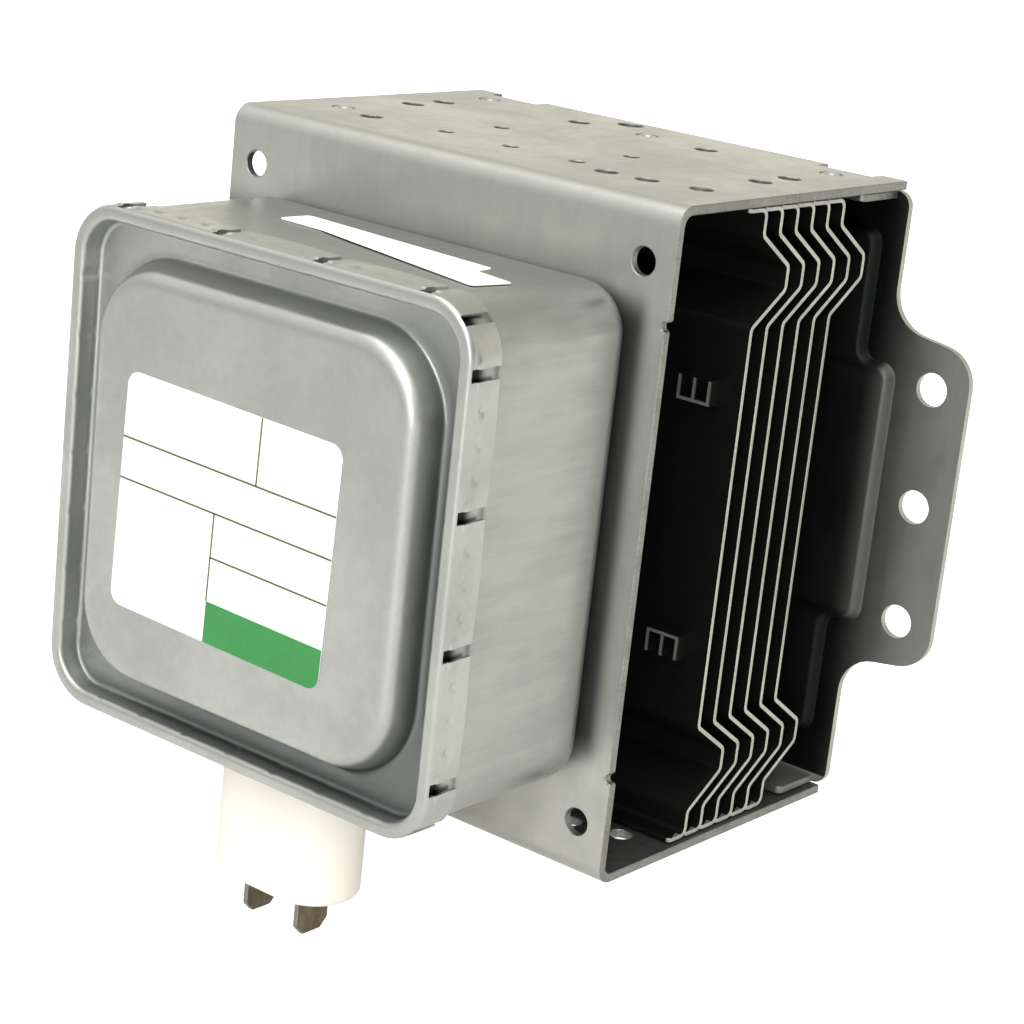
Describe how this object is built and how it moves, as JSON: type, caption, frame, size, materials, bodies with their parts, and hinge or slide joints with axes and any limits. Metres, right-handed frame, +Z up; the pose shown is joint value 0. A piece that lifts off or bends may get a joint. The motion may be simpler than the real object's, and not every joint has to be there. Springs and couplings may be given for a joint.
{
  "type": "magnetron",
  "caption": "Oven magnetron: a finned vacuum tube between ring magnets in a steel yoke, with a crimped filter box, a two-blade connector and a capped antenna.",
  "frame": {"origin": "middle of the footprint, level with the tips of the connector's blades", "axes": "+Y along the tube from the filter box to the antenna, +Z up, away from the connector"},
  "size_m": [0.11, 0.1168, 0.1085],
  "materials": {
    "zinc_plated_steel": "rolled zinc-plated sheet, matt",
    "drawn_steel": "deep-drawn plated sheet, satin",
    "aluminium_fin": "rolled sheet, plain",
    "ferrite": "sintered, dark and matt",
    "copper": "plain copper",
    "tinned_brass": "dull tinned",
    "white_moulding": "off-white moulding, satin",
    "alumina": "pinkish white, unglazed",
    "tungsten": "drawn wire",
    "paper_label": "smooth white",
    "wire_mesh": "knitted wire"
  },
  "bodies": {
    "root": {"anode": "copper", "antenna_cap": "drawn_steel", "antenna_lead": "copper", "box_label": "paper_label", "capacitor_body": "white_moulding", "cathode_centre_lead": "tungsten", "cathode_side_lead": "tungsten", "cathode_sleeve": "zinc_plated_steel", "choke_coil_left": "copper", "choke_coil_right": "copper", "choke_core_left": "ferrite", "choke_core_right": "ferrite", "connector_flange": "zinc_plated_steel", "connector_housing": "white_moulding", "cooling_fin_1": "aluminium_fin", "cooling_fin_2": "aluminium_fin", "cooling_fin_3": "aluminium_fin", "cooling_fin_4": "aluminium_fin", "cooling_fin_5": "aluminium_fin", "cooling_fin_6": "aluminium_fin", "cover_label": "paper_label", "exhaust_tube": "copper", "filament": "tungsten", "filter_box": "drawn_steel", "filter_box_cover": "drawn_steel", "front_end_hat": "tungsten", "front_magnet": "ferrite", "front_pole_piece": "zinc_plated_steel", "mounting_plate": "zinc_plated_steel", "output_ceramic": "alumina", "output_sleeve": "zinc_plated_steel", "rear_end_hat": "tungsten", "rear_magnet": "ferrite", "rear_pole_piece": "zinc_plated_steel", "rf_gasket": "wire_mesh", "stem_ceramic": "alumina", "strap_ring_front_inner": "copper", "strap_ring_front_outer": "copper", "strap_ring_rear_inner": "copper", "strap_ring_rear_outer": "copper", "terminal_blade_left": "tinned_brass", "terminal_blade_right": "tinned_brass", "yoke": "zinc_plated_steel"}
  },
  "joints": []
}
